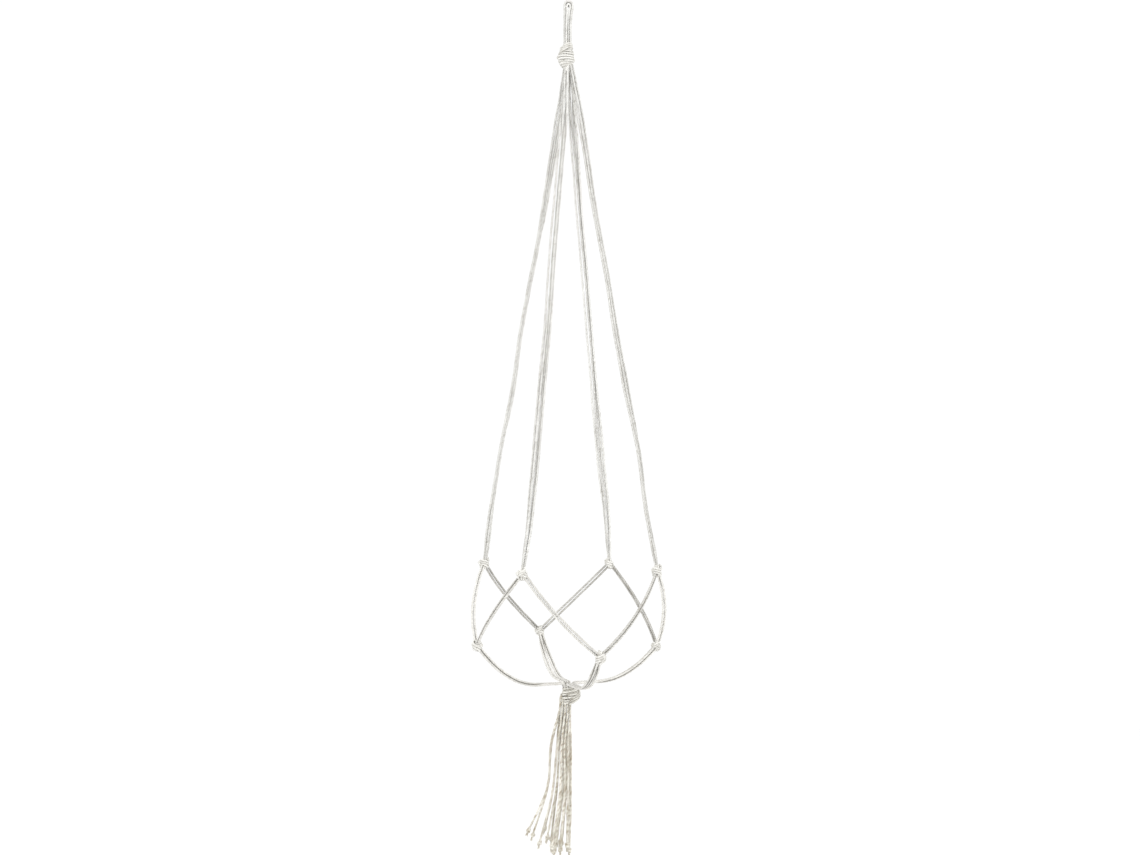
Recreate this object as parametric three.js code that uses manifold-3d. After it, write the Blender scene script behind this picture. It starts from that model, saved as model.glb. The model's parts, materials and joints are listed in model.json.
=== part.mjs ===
// Hanging macrame planter: eight cotton cords folded over a hook, knotted into four arms,
// a two-tier net for a round pot, and a tassel of sixteen cord ends.
// Millimetres, +Z up. The origin is where the hook bears on the underside of the loop.
import * as THREE from 'three';
import { mergeVertices } from 'three/addons/utils/BufferGeometryUtils.js';
import Module from 'manifold-3d';

const wasm = await Module();
wasm.setup();

// ---- Driving dimensions -------------------------------------------------------------------

const CORD_D = 2.8; // three-ply cotton cord, sold as 3 mm and a little thinner when it is pulled
const CORD_SIDES = 8; // sides of one cord's section
const CORD_GAP = 0.12; // space between two cords that lie side by side
const CLEARANCE = 0.35; // space between a cord's end face and the knot that it runs into

const EYE_GAP = 4.8; // clear width inside the loop, for a hook or a ring
const EYE_DEPTH = 10; // height of the parallel part of the eye
const EYE_SHOULDER = 2; // height above the eye's lower end at which its sides start to close
const ARC_STEPS = 6; // straight pieces round the half circle over the hook
const LOOP_ROWS = 4; // folded cords lying one behind another along the hook
const LOOP_LAYERS = 2; // folded cords lying one over another
const NECK_Z = -49.3; // where the loop's cords enter the top knot
const NECK_STRAIGHT = 12; // height over which the cords run straight down into the knot
const NECK_FLARE = 0.3; // how far each cord has moved outwards at the top of that height

// A knot is a turned solid: its sides and rings, and the power that its waist is rounded by.
// A power of 1 gives an ellipsoid, and a smaller one gives steeper sides and flatter ends.
const LARGE_KNOT = { sides: 16, rings: 8 };
const SMALL_KNOT = { sides: 12, rings: 6, power: 0.8 };
const END_KNOT = { sides: 8, rings: 4, power: 0.8 };

const TOP_KNOT_R = 11.2;
const TOP_KNOT_H = 28.6;
const TOP_KNOT_POWER = 0.6;

const ARM_COUNT = 4;
const FIRST_ARM = 63.4; // azimuth of arm 1, degrees from +X towards +Y
const ARM_TOP_R = 6.4; // radius at which the arms leave the top knot
const CRADLE_R = 118.5; // radius of the net at the upper knots
const UPPER_KNOT_Z = [-693.6, -689.0, -688.2, -689.6]; // one for each arm
const UPPER_KNOT_R = 6.0;
const UPPER_KNOT_H = 14;
const ARM_SPANS = 3; // steps along an arm, which is straight
const PAIR = 2; // cords in each solid of an arm, and in each side of a diamond

const NET_R = 116; // radius of the net at the lower knots
const LOWER_KNOT_Z = [-782.1, -781.1, -785.1, -791.1]; // one for each lower knot
const LOWER_KNOT_R = 5.8;
const LOWER_KNOT_H = 13;
const PAIR_SPREAD = 3.1; // sideways offset of a cord pair where it enters a knot
const PAIR_RISE = 3.0; // upward or downward offset of the same point from the knot's middle
const PAIR_END = 5.8; // distance from that point to the end face of the pair
const NET_SAG = [0.8, 0.5, 1.0, 1.5, 5.0, 2.5, 1.0, 5.0]; // droop of each pair at mid length
const NET_SPANS = 8; // steps along a pair

const BASE_R = 40; // radius of the flat stretch under the pot
const BASE_Z = -832; // middle height of the cords under the pot
const LEG_END_R = 8.8; // radius at which the legs stop above the gather knot
const LEG_CORDS = 4;
const LEG_SPLIT = 0.42; // share of the way up the side where a leg's two solids meet
const LEG_SPLIT_GAP = 2.0; // space left there, so the leg can straighten
const LEG_UPPER_SPANS = 6; // steps up the side above the split
const LEG_LOWER_SPANS = 4; // steps below it, as far as the flat stretch
const LEG_BEND = 4; // distance from each end of the flat stretch to its next step
const PRESSED_TOP = 0.3; // bevel of a pressed band's upper edge, in cord radii
const PRESSED_UNDER = 0.5; // bevel of its lower edge

const GATHER_R = 11.4;
const GATHER_X = 0.5;
const TASSEL_COUNTS = [3, 3, 4, 3, 3]; // cord ends in each column of the tassel
const TASSEL_X = -4.2; // middle of the tassel where it leaves the gather knot
const TASSEL_DROP = 9; // straight stretch of each cord end below the gather knot
const TASSEL_SPREAD = 1.04; // how much wider the bundle is at the end of that stretch
const TASSEL_STEPS = 14;
const END_KNOT_R = 2.5;
const END_KNOT_H = 5.6;

// ---- Materials ----------------------------------------------------------------------------

const CREAM = 0xe9e2d3;
const KNOT_CREAM = 0xe2d9c7;
const TASSEL_CREAM = 0xddd0b4;

function cotton(color) {
  return new THREE.MeshStandardMaterial({ color, roughness: 0.95, metalness: 0 });
}

// ---- Placing ------------------------------------------------------------------------------

const planter = new THREE.Group();

function radians(degrees) {
  return THREE.MathUtils.degToRad(degrees);
}

// A point at a radius and an azimuth around the hanging axis.
function around(radius, azimuth, z) {
  return new THREE.Vector3(
    radius * Math.cos(radians(azimuth)),
    radius * Math.sin(radians(azimuth)),
    z,
  );
}

// The horizontal direction that circles the hanging axis at an azimuth.
function sideways(azimuth) {
  return new THREE.Vector3(-Math.sin(radians(azimuth)), Math.cos(radians(azimuth)), 0);
}

function addPiece(name, geometry, color) {
  const piece = new THREE.Mesh(geometry, cotton(color));
  piece.name = name;
  planter.add(piece);
  return piece;
}

// ---- Cord sections and routes -------------------------------------------------------------

// Outline of a number of cords lying side by side and touching, or one cord alone.
function cordBand(count) {
  const radius = CORD_D / 2;
  const corners = [];
  const turn = (2 * Math.PI) / CORD_SIDES;
  const middle = (count - 1) / 2;
  const addCorner = (cord, angle) => {
    corners.push(new THREE.Vector2(
      (cord - middle) * CORD_D + radius * Math.cos(angle),
      radius * Math.sin(angle),
    ));
  };
  addCorner(count - 1, 0);
  for (let cord = count - 1; cord >= 0; cord -= 1) {
    for (let step = 1; step < CORD_SIDES / 2; step += 1) addCorner(cord, step * turn);
  }
  addCorner(0, Math.PI);
  for (let cord = 0; cord < count; cord += 1) {
    for (let step = 1; step < CORD_SIDES / 2; step += 1) addCorner(cord, Math.PI + step * turn);
  }
  return corners;
}

// Outline of a number of cords pressed flat on their upper side by a pot.
function pressedBand(count) {
  const radius = CORD_D / 2;
  const half = (count * CORD_D) / 2;
  return [
    new THREE.Vector2(half, 0),
    new THREE.Vector2(half - radius * PRESSED_TOP, radius),
    new THREE.Vector2(radius * PRESSED_TOP - half, radius),
    new THREE.Vector2(-half, 0),
    new THREE.Vector2(radius * PRESSED_UNDER - half, -radius),
    new THREE.Vector2(half - radius * PRESSED_UNDER, -radius),
  ];
}

// A route whose steps fall on its own points, so they lie close only where the cord bends.
class CordRoute extends THREE.CatmullRomCurve3 {
  getPointAt(u, target) {
    return this.getPoint(u, target);
  }

  getTangentAt(u, target) {
    return this.getTangent(u, target);
  }
}

// Sweeps an outline along a route, one step for each span between its points.
// The outline's width lies along `across` half way along.
function sweep(outline, points, across) {
  const route = new CordRoute(points, false, 'centripetal');
  const steps = points.length - 1;
  const frames = route.computeFrenetFrames(steps, false);
  const half = Math.floor(steps / 2);
  const turn = Math.atan2(across.dot(frames.binormals[half]), across.dot(frames.normals[half]));
  const turned = outline.map((corner) => corner.clone().rotateAround(new THREE.Vector2(), turn));
  return new THREE.ExtrudeGeometry(new THREE.Shape(turned), {
    steps,
    bevelEnabled: false,
    extrudePath: route,
  });
}

// Points evenly spaced from one point to another.
function straight(from, to, spans) {
  const points = [];
  for (let step = 0; step <= spans; step += 1) {
    points.push(from.clone().lerp(to, step / spans));
  }
  return points;
}

// A plain rounded knot, standing on the Z axis with its middle at the origin.
function knotSolid(radius, height, { sides, rings, power }) {
  const profile = [];
  for (let ring = 0; ring <= rings; ring += 1) {
    const angle = -Math.PI / 2 + (Math.PI * ring) / rings;
    const onAxis = ring === 0 || ring === rings;
    const reach = onAxis ? 0 : radius * Math.cos(angle) ** power;
    profile.push(new THREE.Vector2(reach, (height / 2) * Math.sin(angle)));
  }
  const solid = new THREE.LatheGeometry(profile, sides);
  solid.rotateX(Math.PI / 2);
  return solid;
}

// Joins two closed geometries into one closed body.
function join(first, second) {
  const solids = [first, second].map((geometry) => {
    const bare = geometry.clone();
    bare.deleteAttribute('normal');
    bare.deleteAttribute('uv');
    const merged = mergeVertices(bare, 1e-4);
    return new wasm.Manifold(new wasm.Mesh({
      numProp: 3,
      vertProperties: new Float32Array(merged.getAttribute('position').array),
      triVerts: new Uint32Array(merged.getIndex().array),
    }));
  });
  const mesh = solids[0].add(solids[1]).getMesh();
  const joined = new THREE.BufferGeometry();
  joined.setAttribute('position', new THREE.BufferAttribute(mesh.vertProperties, 3));
  joined.setIndex(new THREE.BufferAttribute(mesh.triVerts, 1));
  return joined;
}

// ---- Loop and top knot --------------------------------------------------------------------

const CORD_PITCH = CORD_D + CORD_GAP;
const NECK_COLUMN = CORD_PITCH * Math.sin(radians(60)); // columns nest into each other here

// One folded cord: up one side, over the hook, down the other side.
function loopCord(layer, row) {
  const y = (row - (LOOP_ROWS - 1) / 2) * CORD_PITCH;
  const bend = EYE_GAP / 2 + CORD_D / 2 + layer * CORD_PITCH;
  const neckX = (layer + 0.5) * NECK_COLUMN;
  const nesting = CORD_PITCH / 4;
  const crown = -EYE_GAP / 2;
  const leg = (side) => {
    const shift = side * (layer === 0 ? 1 : -1) * nesting;
    return [
      new THREE.Vector3(side * neckX, y + shift, NECK_Z + CLEARANCE),
      new THREE.Vector3(side * (neckX + NECK_FLARE), y + shift, NECK_Z + NECK_STRAIGHT),
      new THREE.Vector3(side * (neckX + bend) / 2, y + shift / 2, (NECK_Z - EYE_DEPTH) / 2),
      new THREE.Vector3(side * bend, y, crown - EYE_DEPTH + EYE_SHOULDER),
    ];
  };
  const arc = [];
  for (let step = 0; step <= ARC_STEPS; step += 1) {
    const angle = Math.PI - (Math.PI * step) / ARC_STEPS;
    arc.push(new THREE.Vector3(bend * Math.cos(angle), y, crown + bend * Math.sin(angle)));
  }
  return [...leg(-1), ...arc, ...leg(1).reverse()];
}

function addLoop() {
  for (let layer = 0; layer < LOOP_LAYERS; layer += 1) {
    for (let row = 0; row < LOOP_ROWS; row += 1) {
      const geometry = sweep(cordBand(1), loopCord(layer, row), new THREE.Vector3(0, 1, 0));
      addPiece(`loop_cord_${layer * LOOP_ROWS + row + 1}`, geometry, CREAM);
    }
  }
}

function addTopKnot() {
  const solid = knotSolid(TOP_KNOT_R, TOP_KNOT_H, { ...LARGE_KNOT, power: TOP_KNOT_POWER });
  const knot = addPiece('top_knot', solid, KNOT_CREAM);
  knot.position.z = NECK_Z - TOP_KNOT_H / 2;
}

// ---- Arms and upper knots -----------------------------------------------------------------

function armAzimuth(arm) {
  return FIRST_ARM + (arm * 360) / ARM_COUNT;
}

function lowerAzimuth(knot) {
  return armAzimuth(knot) + 180 / ARM_COUNT;
}

function upperKnotAt(arm) {
  return around(CRADLE_R, armAzimuth(arm), UPPER_KNOT_Z[arm % ARM_COUNT]);
}

function lowerKnotAt(knot) {
  return around(NET_R, lowerAzimuth(knot), LOWER_KNOT_Z[knot % ARM_COUNT]);
}

// Two pairs of cords, one on each side of the arm's own line.
function addArm(arm) {
  const azimuth = armAzimuth(arm);
  const top = around(ARM_TOP_R, azimuth, NECK_Z - TOP_KNOT_H - CLEARANCE);
  const end = upperKnotAt(arm).add(new THREE.Vector3(0, 0, UPPER_KNOT_H / 2 + CLEARANCE));
  const across = sideways(azimuth);
  const outward = new THREE.Vector3().crossVectors(across, end.clone().sub(top)).normalize();
  ['a', 'b'].forEach((letter, index) => {
    const shift = outward.clone().multiplyScalar((index - 0.5) * CORD_PITCH);
    const points = straight(top.clone().add(shift), end.clone().add(shift), ARM_SPANS);
    addPiece(`arm_${arm + 1}_cords_${letter}`, sweep(cordBand(PAIR), points, across), CREAM);
  });
}

function addUpperKnot(arm) {
  const solid = knotSolid(UPPER_KNOT_R, UPPER_KNOT_H, SMALL_KNOT);
  addPiece(`upper_knot_${arm + 1}`, solid, KNOT_CREAM).position.copy(upperKnotAt(arm));
}

// ---- Net ----------------------------------------------------------------------------------

// A pair of cords from an upper knot down round the pot to a lower knot.
// side is 1 towards the lower knot with the arm's own number, and -1 towards the one before.
function addNetPair(arm, side) {
  const knot = side > 0 ? arm : arm + ARM_COUNT - 1;
  const fromAzimuth = armAzimuth(arm);
  const toAzimuth = fromAzimuth + (side * 180) / ARM_COUNT;
  const from = upperKnotAt(arm).addScaledVector(sideways(fromAzimuth), side * PAIR_SPREAD);
  from.z -= PAIR_RISE;
  const to = lowerKnotAt(knot).addScaledVector(sideways(toAzimuth), -side * PAIR_SPREAD);
  to.z += PAIR_RISE;
  const startRadius = Math.hypot(from.x, from.y);
  const endRadius = Math.hypot(to.x, to.y);
  const turnIn = THREE.MathUtils.radToDeg(Math.atan(PAIR_SPREAD / CRADLE_R)) * side;
  const turnOut = THREE.MathUtils.radToDeg(Math.atan(PAIR_SPREAD / NET_R)) * side;
  const sag = NET_SAG[arm * 2 + (side > 0 ? 0 : 1)];
  const bowl = (share) => {
    const radius = THREE.MathUtils.lerp(startRadius, endRadius, share);
    const azimuth = THREE.MathUtils.lerp(fromAzimuth + turnIn, toAzimuth - turnOut, share);
    const z = THREE.MathUtils.lerp(from.z, to.z, share) - sag * 4 * share * (1 - share);
    return around(radius, azimuth, z);
  };
  const trim = PAIR_END / from.distanceTo(to);
  const points = [];
  for (let step = 0; step <= NET_SPANS; step += 1) {
    points.push(bowl(THREE.MathUtils.lerp(trim, 1 - trim, step / NET_SPANS)));
  }
  const outward = around(1, (fromAzimuth + toAzimuth) / 2, 0);
  const along = to.clone().sub(from).normalize();
  const across = new THREE.Vector3().crossVectors(outward, along);
  const name = `net_cords_${arm + 1}${side > 0 ? 'a' : 'b'}`;
  addPiece(name, sweep(cordBand(PAIR), points, across), CREAM);
}

function addLowerKnot(knot) {
  const solid = knotSolid(LOWER_KNOT_R, LOWER_KNOT_H, SMALL_KNOT);
  addPiece(`lower_knot_${knot + 1}`, solid, KNOT_CREAM).position.copy(lowerKnotAt(knot));
}

// ---- Legs under the pot -------------------------------------------------------------------

// The side of the bowl: flat under the pot at share 0, up at the lower knot at share 1.
function bowlSide(knot, share) {
  const foot = lowerKnotAt(knot).z;
  const radius = THREE.MathUtils.lerp(BASE_R, NET_R, share);
  return around(radius, lowerAzimuth(knot), BASE_Z + (foot - BASE_Z) * share ** 2);
}

// Four cords side by side, as an upper and a lower solid that meet part way up the side.
function addLeg(knot) {
  const across = sideways(lowerAzimuth(knot));
  // Length of the side for each unit of share, where the legs split and at the lower knot.
  const slope = (share) => (
    Math.hypot(NET_R - BASE_R, 2 * share * (lowerKnotAt(knot).z - BASE_Z))
  );
  const halfGap = LEG_SPLIT_GAP / 2 / slope(LEG_SPLIT);
  const topShare = 1 - (LOWER_KNOT_H / 2 + CLEARANCE) / slope(1);
  const upper = [];
  for (let step = 0; step <= LEG_UPPER_SPANS; step += 1) {
    const share = THREE.MathUtils.lerp(topShare, LEG_SPLIT + halfGap, step / LEG_UPPER_SPANS);
    upper.push(bowlSide(knot, share));
  }
  addPiece(`leg_upper_${knot + 1}`, sweep(cordBand(LEG_CORDS), upper, across), CREAM);

  const lower = [];
  for (let step = 0; step < LEG_LOWER_SPANS; step += 1) {
    const share = THREE.MathUtils.lerp(LEG_SPLIT - halfGap, 0, step / LEG_LOWER_SPANS);
    lower.push(bowlSide(knot, share));
  }
  const azimuth = lowerAzimuth(knot);
  [BASE_R, BASE_R - LEG_BEND, LEG_END_R + LEG_BEND, LEG_END_R].forEach((radius) => {
    lower.push(around(radius, azimuth, BASE_Z));
  });
  addPiece(`leg_lower_${knot + 1}`, sweep(pressedBand(LEG_CORDS), lower, across), CREAM);
}

// ---- Gather knot and tassel ---------------------------------------------------------------

const GATHER_Z = BASE_Z - CORD_D / 2 - CLEARANCE - GATHER_R;

function addGatherKnot() {
  const ball = knotSolid(GATHER_R, GATHER_R * 2, { ...LARGE_KNOT, power: 1 });
  const knot = addPiece('gather_knot', ball, KNOT_CREAM);
  knot.position.set(GATHER_X, 0, GATHER_Z);
}

// Where each tassel cord hangs, from its place in the bundle to its end knot:
// [x, y, z] a third of the way down, two thirds of the way down, and at the end.
// x and y are from the middle of the tassel's top, and z is from the gather knot's middle.
const TASSEL_ROUTES = [
  [[-17.6, -5.0, -62], [-21.4, -6.5, -112], [-45.0, -9.0, -166]],
  [[-16.4, 0.2, -62], [-20.8, 1.0, -112], [-40.2, 3.0, -175]],
  [[-10.2, 5.2, -62], [-14.8, 9.0, -118], [-25.3, 15.0, -170]],
  [[-9.8, -6.4, -62], [-15.8, -9.5, -118], [-30.8, -17.0, -180]],
  [[-7.4, -1.6, -62], [-11.2, -3.0, -118], [-22.0, -6.0, -176]],
  [[-7.0, 3.4, -62], [-10.2, 5.0, -118], [-17.0, 8.0, -181]],
  [[-4.6, -8.6, -62], [-6.2, -12.5, -118], [-16.2, -20.0, -183]],
  [[-3.2, -3.2, -62], [-5.0, -5.6, -118], [-13.4, -11.0, -192]],
  [[-1.6, 1.8, -62], [-2.4, 2.4, -118], [-11.2, 1.6, -187]],
  [[-4.0, 7.2, -62], [-6.0, 10.4, -118], [-14.0, 18.0, -184]],
  [[-0.4, -6.4, -62], [-0.8, -10.2, -118], [-5.6, -17.0, -188]],
  [[1.6, -1.0, -62], [1.2, -1.8, -118], [-6.4, -4.6, -182]],
  [[0.6, 4.6, -62], [1.6, 7.0, -118], [-4.2, 12.0, -187]],
  [[3.8, -5.4, -62], [3.8, -8.4, -118], [2.2, -12.0, -184]],
  [[7.2, 0.0, -62], [7.2, -1.2, -118], [5.2, -3.0, -192]],
  [[5.6, 5.4, -62], [5.8, 7.0, -118], [2.4, 9.0, -190]],
];

// Place in the bundle of each cord end, as it leaves the gather knot.
function bundlePlaces() {
  const places = [];
  TASSEL_COUNTS.forEach((count, column) => {
    const x = (column - (TASSEL_COUNTS.length - 1) / 2) * CORD_PITCH;
    for (let row = 0; row < count; row += 1) {
      places.push([x, (row - (count - 1) / 2) * CORD_PITCH]);
    }
  });
  return places;
}

// A cord end hangs from the underside of the round gather knot and ends in a small knot.
function addTasselCord(index, place, route) {
  const [x, y] = place;
  const reach = Math.max(0, Math.hypot(TASSEL_X + x - GATHER_X, y) - CORD_D / 2);
  const ball = GATHER_R + CLEARANCE;
  const top = -Math.sqrt(ball * ball - reach * reach);
  const below = [x * TASSEL_SPREAD, y * TASSEL_SPREAD, top - TASSEL_DROP];
  const corners = [[x, y, top], below, ...route];
  const points = corners.map(([px, py, pz]) => (
    new THREE.Vector3(TASSEL_X + px, py, GATHER_Z + pz)
  ));
  const hang = new THREE.CatmullRomCurve3(points, false, 'centripetal');
  const smooth = hang.getSpacedPoints(TASSEL_STEPS);
  const cord = sweep(cordBand(1), smooth, new THREE.Vector3(0, 1, 0));
  const end = smooth[smooth.length - 1];
  const lean = end.clone().sub(smooth[smooth.length - 2]).normalize();
  const knot = knotSolid(END_KNOT_R, END_KNOT_H, END_KNOT);
  knot.applyQuaternion(new THREE.Quaternion().setFromUnitVectors(new THREE.Vector3(0, 0, -1), lean));
  const middle = end.clone().addScaledVector(lean, -END_KNOT_H / 4);
  knot.translate(middle.x, middle.y, middle.z);
  addPiece(`tassel_cord_${index + 1}`, join(cord, knot), TASSEL_CREAM);
}

// ---- The whole hanger ---------------------------------------------------------------------

addLoop();
addTopKnot();
for (let index = 0; index < ARM_COUNT; index += 1) {
  addArm(index);
  addUpperKnot(index);
  addNetPair(index, 1);
  addNetPair(index, -1);
  addLowerKnot(index);
  addLeg(index);
}
addGatherKnot();
bundlePlaces().forEach((place, index) => addTasselCord(index, place, TASSEL_ROUTES[index]));

export default planter;
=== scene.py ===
"""The looks of a hanging macrame planter: three-ply cotton cords, their knots and a tassel.

Metres, +Z up. The origin is where the hook bears on the underside of the loop.
"""
import json
import math
import random

import bpy
import numpy as np
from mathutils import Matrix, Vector


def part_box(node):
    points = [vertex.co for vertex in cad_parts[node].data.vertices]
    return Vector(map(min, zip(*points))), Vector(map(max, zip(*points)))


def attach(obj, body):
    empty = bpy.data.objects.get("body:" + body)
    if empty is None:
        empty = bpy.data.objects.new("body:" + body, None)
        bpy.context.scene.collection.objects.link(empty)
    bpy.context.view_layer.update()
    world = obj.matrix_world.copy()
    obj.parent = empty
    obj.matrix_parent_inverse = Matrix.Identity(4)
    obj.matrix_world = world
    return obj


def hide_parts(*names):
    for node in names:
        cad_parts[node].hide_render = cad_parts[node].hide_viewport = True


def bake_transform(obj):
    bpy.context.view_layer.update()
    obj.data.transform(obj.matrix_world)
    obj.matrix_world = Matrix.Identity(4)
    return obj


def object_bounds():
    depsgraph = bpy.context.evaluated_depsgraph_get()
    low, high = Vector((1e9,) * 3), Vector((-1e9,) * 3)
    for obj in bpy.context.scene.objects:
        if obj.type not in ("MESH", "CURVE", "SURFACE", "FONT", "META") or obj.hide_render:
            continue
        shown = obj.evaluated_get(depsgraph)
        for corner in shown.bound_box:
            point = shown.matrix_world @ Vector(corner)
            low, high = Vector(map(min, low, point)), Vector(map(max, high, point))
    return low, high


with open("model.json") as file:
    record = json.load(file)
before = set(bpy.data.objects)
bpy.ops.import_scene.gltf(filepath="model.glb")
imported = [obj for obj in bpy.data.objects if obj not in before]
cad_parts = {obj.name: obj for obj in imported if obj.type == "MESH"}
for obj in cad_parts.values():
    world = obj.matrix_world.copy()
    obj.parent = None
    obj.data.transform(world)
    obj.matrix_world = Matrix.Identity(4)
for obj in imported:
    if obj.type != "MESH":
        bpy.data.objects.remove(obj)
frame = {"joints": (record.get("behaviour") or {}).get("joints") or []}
cad_low, cad_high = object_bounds()
chance = random.Random(16)

# ---- Sizes ---------------------------------------------------------------------------------

CORD_D = 0.0028  # three-ply cotton cord
CORD_R = CORD_D / 2
PITCH = 0.00292  # distance between cords that lie side by side
PLY_TURN = 0.0095  # length in which the three plies turn once round each other
RING_STEP = 0.0010  # distance between the rings of a cord's mesh
PLIES = 3
# One ply's outline, from its groove: angle in degrees and share of the cord's radius.
TIGHT_PLY = [(-60, 0.82), (-33, 0.95), (0, 1.0), (33, 0.95)]
OPEN_PLY = [(-60, 0.60), (-33, 0.91), (0, 1.0), (33, 0.91)]

ARMS = 4
ARM_TOP_R = 0.0064  # from the hanging axis to an arm's middle, under the top knot
BASE_R = 0.040  # where a leg meets the flat foot of the pot
BASE_Z = -0.832
LEG_END_R = 0.0088  # where a leg reaches the gather knot
PAIR_SPREAD = 0.0031  # from a knot's middle to a pair's middle, where the pair leaves it
PAIR_RISE = 0.003


# ---- Camera and light ----------------------------------------------------------------------

def link(thing):
    bpy.context.scene.collection.objects.link(thing)
    return thing


def add_camera():
    lens = bpy.data.cameras.new("camera")
    lens.sensor_width = 36
    lens.lens = 50.5
    camera = link(bpy.data.objects.new("camera", lens))
    camera.location = (0.0018, -1.965, -0.5181)
    camera.rotation_euler = (math.radians(90), 0, 0)
    bpy.context.scene.camera = camera


def add_softbox(name, place, target, size, power):
    lamp = bpy.data.lights.new(name, "AREA")
    lamp.shape = "DISK"
    lamp.size = size
    lamp.energy = power
    box = link(bpy.data.objects.new(name, lamp))
    box.location = place
    towards = np.array(target) - np.array(place)
    box.rotation_euler = Vector(towards).to_track_quat("-Z", "Y").to_euler()


def add_studio():
    scene = bpy.context.scene
    scene.view_settings.view_transform = "Standard"
    scene.world = bpy.data.worlds.new("studio")
    scene.world.use_nodes = True
    sky = scene.world.node_tree.nodes["Background"]
    sky.inputs["Color"].default_value = (1, 1, 1, 1)
    sky.inputs["Strength"].default_value = 1.02
    add_softbox("key", (0.9, -1.6, 0.5), (0, 0, -0.5), 0.9, 9)
    add_softbox("fill", (-1.4, -1.2, -0.3), (0, 0, -0.6), 1.2, 3)


# ---- Materials -----------------------------------------------------------------------------

class Field:
    """A shader value that takes part in plain arithmetic."""

    def __init__(self, maker, socket):
        self.maker = maker
        self.socket = socket

    def combined(self, operation, first, second):
        return self.maker.node("ShaderNodeMath", {"operation": operation}, {0: first, 1: second})

    def __add__(self, other):
        return self.combined("ADD", self, other)

    def __sub__(self, other):
        return self.combined("SUBTRACT", self, other)

    def __rsub__(self, other):
        return self.combined("SUBTRACT", other, self)

    def __mul__(self, other):
        return self.combined("MULTIPLY", self, other)

    __radd__ = __add__
    __rmul__ = __mul__


class Finish:
    """One node material: each node is made from its type, its settings and its sockets."""

    def __init__(self, name):
        self.material = bpy.data.materials.new(name)
        self.material.use_nodes = True
        self.tree = self.material.node_tree
        self.tree.nodes.clear()

    def node(self, kind, settings, sockets, output=0):
        made = self.tree.nodes.new(kind)
        for key, value in settings.items():
            if key == "stops":
                self.set_stops(made.color_ramp, value)
            else:
                setattr(made, key, value)
        for key, value in sockets.items():
            if isinstance(value, Field):
                self.tree.links.new(value.socket, made.inputs[key])
            else:
                made.inputs[key].default_value = value
        return Field(self, made.outputs[output]) if made.outputs else made

    @staticmethod
    def set_stops(ramp, stops):
        while len(ramp.elements) < len(stops):
            ramp.elements.new(0.5)
        for element, (position, value) in zip(ramp.elements, stops):
            element.position = position
            element.color = (value, value, value, 1)

    def attribute(self, name, output):
        return self.node("ShaderNodeAttribute", {"attribute_name": name}, {}, output)

    def mix(self, factor, first, second):
        # By number, because the names find the sockets for plain values.
        sockets = {0: factor, 6: first, 7: second}
        return self.node("ShaderNodeMix", {"data_type": "RGBA"}, sockets, 2)

    def noise(self, place, stretch, detail):
        scaled = self.node(
            "ShaderNodeVectorMath", {"operation": "MULTIPLY"}, {0: place, 1: stretch}
        )
        return self.node(
            "ShaderNodeTexNoise", {}, {"Vector": scaled, "Scale": 1.0, "Detail": detail}
        )


def cotton(name, light, shade, fleck, fleck_share, twist, crease_shade, mottle):
    """Undyed cotton cord: pale plies, painted shade in the grooves, fibres along the cord and a few
    flecks.

    twist is how dark the painted shade in the grooves between the plies is, crease how dark
    the painted shade is where the cord lies against another, and mottle how uneven it is.
    """
    finish = Finish(name)
    place = finish.attribute("cord_place", 1)
    groove = finish.attribute("groove", 2)
    tone = finish.attribute("tone", 2)
    fibres = finish.noise(place, (2600, 2600, 520), 3.0)
    yarns = finish.noise(place, (800, 800, 330), 2.0)
    drift = finish.noise(place, (60, 60, 60), 2.0)
    flecks = finish.node(
        "ShaderNodeValToRGB",
        {"stops": [(0.60 - 0.08 * fleck_share, 0.0), (0.70, 1.0)]},
        {"Fac": finish.noise(place, (420, 420, 190), 2.0)},
    )
    uneven = (fibres - 0.5) * 0.8 + (yarns - 0.5) * 1.1 + (drift - 0.5) * 0.9
    # Painted shade in the grooves between the plies and where the cord lies against another cord; the
    # unevenness below is the cotton's own colour.
    groove_and_crease_shade = (1 - groove) * twist + finish.attribute("crevice", 2) * crease_shade
    painted_shade_and_unevenness = groove_and_crease_shade + uneven * mottle
    depth = finish.node("ShaderNodeClamp", {}, {"Value": painted_shade_and_unevenness + tone * 0.7 + 0.05})
    plain = finish.mix(depth, light, shade)
    colour = finish.mix(flecks * (0.62 * fleck_share), plain, fleck)
    height = groove * 0.35 + fibres * 0.5 + yarns * 0.4
    bump = finish.node(
        "ShaderNodeBump", {}, {"Height": height, "Strength": 0.5, "Distance": 0.0003}
    )
    roughness = 0.86 + (fibres - 0.5) * 0.12
    shader = finish.node(
        "ShaderNodeBsdfPrincipled",
        {},
        {
            "Base Color": colour,
            "Roughness": roughness,
            "Normal": bump,
            "Sheen Weight": 0.25,
            "Sheen Roughness": 0.5,
            "Specular IOR Level": 0.2,
        },
    )
    finish.node("ShaderNodeOutputMaterial", {}, {"Surface": shader})
    return finish.material


def floor_paint():
    finish = Finish("pale floor")
    shader = finish.node(
        "ShaderNodeBsdfPrincipled", {}, {"Base Color": (0.98, 0.98, 0.98, 1), "Roughness": 0.9}
    )
    finish.node("ShaderNodeOutputMaterial", {}, {"Surface": shader})
    return finish.material


# ---- Routes --------------------------------------------------------------------------------

def around(radius, azimuth, z):
    """A point at a radius and an azimuth, in degrees, around the hanging axis."""
    angle = math.radians(azimuth)
    return np.array([radius * math.cos(angle), radius * math.sin(angle), z])


def sideways(azimuth):
    """The horizontal direction that circles the hanging axis at an azimuth."""
    angle = math.radians(azimuth)
    return np.array([-math.sin(angle), math.cos(angle), 0.0])


def unit(vector):
    return vector / np.linalg.norm(vector)


def middle(node):
    low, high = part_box(node)
    return np.array((low + high) / 2)


def azimuth_of(point):
    return math.degrees(math.atan2(point[1], point[0]))


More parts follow.
